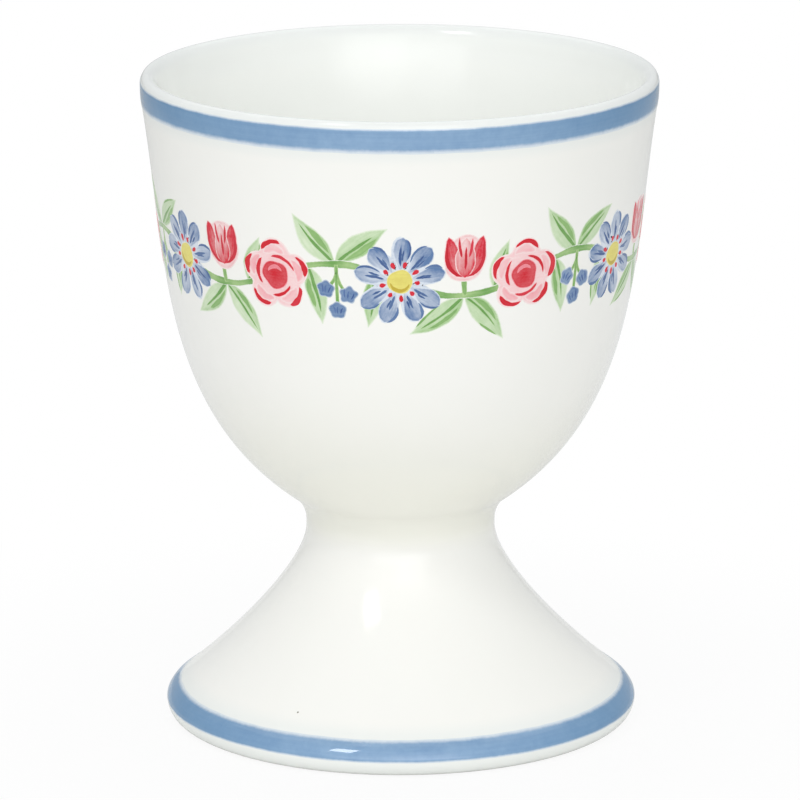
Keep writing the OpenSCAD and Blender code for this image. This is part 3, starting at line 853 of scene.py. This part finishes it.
def brushed_line():
    """Blue colour laid on with a broad brush: streaks along it, denser in drifts, darker towards the cup's
    left and right as painted shade, and thinner along its edges."""
    coat = Finish("line_blue")
    place = coat.place()
    x, y = coat.axes(place)[:2]
    streak = coat.noise(coat.scaled(place, (90.0, 90.0, 3200.0)), 1.0, 3.0, 0.6)
    drift = coat.noise(place, 170.0, 3.0, 0.6)
    fine = coat.noise(place, 2600.0, 2.0, 0.6)
    coarse = coat.noise(place, 850.0, 3.0, 0.6)
    density = 0.45 + (streak - 0.5) * 0.9 + (drift - 0.5) * 1.2 + (coarse - 0.5) * 0.8 + (fine - 0.5) * 0.4
    colour = coat.mixed(density.held(), LINE_PALE, LINE_FULL)
    # painted shade: the line darkens towards the cup's left and right, by the squared sine of its angle round
    # the axis from the front
    side = x * x / (x * x + y * y)
    colour = coat.mixed(side * (0.5 + side * 0.2), colour, LINE_SIDE_SHADE)
    rim = coat.field("rim") + (fine - 0.5) * 0.06 + (coarse - 0.5) * 0.06
    colour = coat.mixed(1 - rim.eased(0.0, 0.24), colour, LINE_FRINGE)
    return coat.glazed(colour, LINE_GLOSS, index=LINE_INDEX)


def wash(name, pale, full, fade=0.16, ragged=0.1, streaks=0.5, pooled=0.12, grain=0.25):
    """Water colour: pale to full by the brush's tone, streaks along the stroke and a fine grain, with a
    darker tide line near the edge, and a soft ragged border where it thins out to what lies under it."""
    coat = Finish(name)
    brush = coat.field("brush", "Vector")
    place = coat.place()
    streak = coat.noise(coat.scaled(brush, (0.5, 4.5, 7.0)), 1.0, 3.0, 0.6)
    cloud = coat.noise(place, 900.0, 3.0, 0.6)
    fine = coat.noise(place, 5200.0, 2.0, 0.6)
    rim = coat.field("rim") + (cloud - 0.5) * ragged + (fine - 0.5) * ragged
    tide = rim.eased(0.0, fade) * (1 - rim.eased(fade, 2.2 * fade + 0.08))
    density = coat.field("tone") + (streak - 0.5) * streaks + (cloud - 0.5) * streaks
    density = density + (fine - 0.5) * grain + tide * pooled
    colour = coat.mixed(density.held(), pale, full)
    ground = coat.mixed(coat.field("over"), GLAZE, pale)
    colour = coat.mixed(rim.eased(0.0, fade), ground, colour)
    return coat.glazed(colour, GLOSS)


def finished(piece, finish, slot, *nodes):
    """Gives a piece its finish and hides the solids that it stands for. The slot is not used."""
    piece.data.materials.append(finish)
    if nodes:
        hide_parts(*nodes)


# the pieces
under_bowl = np.array([[r, JOINT_TOP] for r in (0, 0.5 * BORE_R, BORE_R, 0.5 * (BORE_R + WAIST_R))])
bowl_rows = np.vstack([under_bowl, waist[::-1], belly[-2::-1], lip_outside[::-1],
                       lip_inside[1:], bowl_inside, bowl_floor[1:]])
# share of the painted light inside the bowl: 0 at the lip's top, 1 from its inner roll down
inside_light_share = np.clip((np.arange(len(bowl_rows)) - bowl_rows[:, 1].argmax()) / len(lip_inside), 0, 1)
bowl = turned("bowl_glazed", bowl_rows, sharp=(len(under_bowl),), fields={"inside": inside_light_share})

bead = np.linspace(0, 1, 7)[1:-1]
slip_rows = np.vstack([
    [[WAIST_R, JOINT_LOW], [WAIST_R, JOINT_TOP], [BORE_R, JOINT_TOP]],
    np.stack([BORE_R - SLIP_BEAD * np.sin(np.pi * bead), JOINT_TOP + (JOINT_LOW - JOINT_TOP) * bead], 1),
    [[BORE_R, JOINT_LOW]]])
slip = turned("slip_ring", slip_rows, closed=True, sharp=(0, 1, 2, len(slip_rows) - 1))

ring_flat = np.array([[RING_IN + RING_ROUND, 0], [RING_IN + RING_W / 2, 0]])
inside_corner = [[RING_IN, np.interp(RING_IN, foot_inside[:, 0], foot_inside[:, 1])]]
foot_rows = np.vstack([ring_flat[1:], edge[::-1], slope[-2::-1], foot_inside, inside_corner, ring_edge])
top_row = 1 + len(edge) + len(slope) - 2
foot = turned("foot_glazed", foot_rows, closed=True, sharp=(top_row, top_row + 1))

white = porcelain()
finished(bowl, white, "glazed_porcelain", "bowl")
finished(slip, white, "glazed_porcelain", "slip_joint")
finished(foot, white, "glazed_porcelain", "foot")

line_finish = brushed_line()
lip_line = line_round("lip_line_film", bowl_outside, RIM_LINE_LOW, RIM_LINE_TOP, THIN_EDGE, 1, 3)
finished(lip_line, line_finish, "line_blue", "rim_line")
low_line = line_round("foot_line_film", foot_outside, FOOT_LINE_Z, FOOT_LINE_TOP, 1, THIN_EDGE, 5, RIDGES)
finished(low_line, line_finish, "line_blue", "foot_line")

PALE_PINK, FULL_PINK = tint(249, 224, 223), tint(242, 158, 166)
LIGHT_RED, DEEP_RED = tint(234, 74, 94), tint(208, 4, 32)
finished(stem.fire(), wash("stem_green", tint(180, 208, 146), tint(112, 164, 84), 0.1, streaks=0.9),
         "stem_green", "garland_stem")
finished(leaves.fire(), wash("leaf_green_wash", tint(218, 232, 202), tint(152, 194, 124), 0.2, streaks=0.6),
         "leaf_green", "garland_leaves")
finished(veins.fire(), wash("leaf_green_strokes", tint(160, 198, 130), tint(100, 154, 74), 0.06, 0.06),
         "leaf_green")
finished(buds.fire(), wash("bud_blue_wash", tint(172, 190, 212), tint(92, 124, 168), 0.16),
         "petal_blue", "garland_buds")
finished(bud_marks.fire(), wash("bud_blue_strokes", tint(106, 136, 182), tint(58, 86, 142), 0.05, 0.05),
         "petal_blue")
finished(daisies.fire(), wash("petal_blue_wash", tint(222, 229, 238), tint(90, 122, 168), 0.16, streaks=0.6),
         "petal_blue", "garland_daisies")
finished(daisy_marks.fire(), wash("petal_blue_strokes", tint(108, 138, 180), tint(56, 84, 138), 0.06, 0.06),
         "petal_blue")
finished(eyes.fire(), wash("eye_yellow", tint(236, 226, 122), tint(196, 170, 52), 0.1),
         "eye_yellow", "garland_daisy_eyes")
finished(stamens.fire(), wash("stamen_red", LIGHT_RED, DEEP_RED, 0.06, 0.05), "heart_red")
finished(rosettes.fire(), wash("petal_pink_wash", PALE_PINK, FULL_PINK, 0.3),
         "petal_pink", "garland_rosettes")
finished(rosette_marks.fire(), wash("rosette_red_strokes", LIGHT_RED, DEEP_RED, 0.06, 0.06, streaks=0.3),
         "heart_red")
finished(hearts.fire(), wash("heart_red", tint(244, 150, 160), DEEP_RED, 0.1, streaks=0.3), "heart_red",
         "garland_rosette_hearts")
finished(tulips.fire(), wash("tulip_red_wash", PALE_PINK, tint(214, 22, 50), 0.16),
         "heart_red", "garland_tulips")
finished(tulip_marks.fire(), wash("tulip_red_strokes", LIGHT_RED, tint(196, 12, 36), 0.06, 0.06, streaks=0.3),
         "heart_red")

# floor, light and camera
# the paper is seen as white; close to the cup a share of its own shade stays, for the shadow, and the
# glaze mirrors mostly that shade, so that the cup's outline stands out from the white
NEAR_GLOW, MIRRORED_GLOW = 0.9, 0.04
NEAR, FAR = (0.025, 0.075), (0.1, 0.4)
FLOOR_REACH = 4.0
floor_mesh = bpy.data.meshes.new("floor")
ends = FLOOR_REACH * np.array([(-1, -1, 0), (1, -1, 0), (1, 1, 0), (-1, 1, 0)])
floor_mesh.from_pydata(ends.tolist(), [], [(0, 1, 2, 3)])
floor = bpy.data.objects.new("floor", floor_mesh)
bpy.context.scene.collection.objects.link(floor)
paper = Finish("floor_paper")
away = paper.add("ShaderNodeVectorMath", {"operation": "LENGTH"}, {0: paper.place()}, "Value")
shade = paper.mixed(away.eased(*FAR), tint(240, 240, 239), tint(196, 196, 194))
diffuse = paper.add("ShaderNodeBsdfDiffuse", {}, {"Color": shade})
glow = paper.add("ShaderNodeEmission", {}, {"Color": (1, 1, 1, 1), "Strength": 1.0})
ray = paper.add("ShaderNodeLightPath", {}, {}, "Is Camera Ray")
rays = ray.socket.node.outputs
glossy, through = Wire(paper, rays["Is Glossy Ray"]), Wire(paper, rays["Is Transmission Ray"])
seen = ray * (NEAR_GLOW + (1 - NEAR_GLOW) * away.eased(*NEAR)) + (glossy + through) * MIRRORED_GLOW
surface = paper.add("ShaderNodeMixShader", {}, {0: seen.held(), 1: diffuse, 2: glow})
paper.add("ShaderNodeOutputMaterial", {}, {"Surface": surface})
floor_mesh.materials.append(paper.material)

WALLS_COLOUR, WALLS_STRENGTH = (0.96, 0.98, 1.0, 1), 0.695
LIT_Z = 0.03
world = bpy.data.worlds.new("studio")
bpy.context.scene.world = world
world.use_nodes = True
walls = world.node_tree.nodes["Background"]
walls.inputs["Color"].default_value = WALLS_COLOUR
walls.inputs["Strength"].default_value = WALLS_STRENGTH


def soft_box(name, azimuth, elevation, distance, width, height, radiance):
    """A lamp panel that faces the cup from a direction; its power gives its face that radiance."""
    a, e = np.radians(azimuth), np.radians(elevation)
    aim = Vector((0, 0, LIT_Z))
    place = aim + distance * Vector((np.sin(a) * np.cos(e), -np.cos(a) * np.cos(e), np.sin(e)))
    lamp = bpy.data.lights.new(name, "AREA")
    lamp.shape, lamp.size, lamp.size_y = "RECTANGLE", width, height
    lamp.energy = float(radiance * np.pi * width * height)
    lamp_object = bpy.data.objects.new(name, lamp)
    turn = (aim - place).to_track_quat("-Z", "Y").to_matrix().to_4x4()
    lamp_object.matrix_world = Matrix.Translation(place) @ turn
    bpy.context.scene.collection.objects.link(lamp_object)


soft_box("window_right", 12, 24, 1.2, 0.62, 0.85, 0.66)
soft_box("window_left", -36, 51, 1.2, 0.2, 0.25, 7.8)
soft_box("front_low", 0, 8, 1.8, 2.4, 1.0, 0.84)
soft_box("back_high", 180, 60, 1.6, 2.0, 1.2, 0.5)
for spread in (0.7, 1.0, 1.4):
    soft_box("front", 0, 30, 1.5, 1.5 * spread, spread, 0.39 / spread)

LENS, SENSOR, FRAME = 277.14, 36.0, 800
PITCH, ROLL = 0.2475, 0.0022
EYE = (0, -0.5908, 0.18116)
PRINCIPAL_X = 400.25
camera = bpy.data.cameras.new("camera")
camera.lens, camera.sensor_width, camera.sensor_fit = LENS, SENSOR, "HORIZONTAL"
camera.shift_x = (FRAME / 2 - PRINCIPAL_X) / FRAME
camera.clip_start = 0.01
camera_object = bpy.data.objects.new("camera", camera)
camera_object.matrix_world = (Matrix.Translation(EYE) @ Matrix.Rotation(np.pi / 2 - PITCH, 4, "X")
                              @ Matrix.Rotation(-ROLL, 4, "Z"))
bpy.context.scene.collection.objects.link(camera_object)
bpy.context.scene.camera = camera_object
bpy.context.scene.view_settings.view_transform = "Standard"
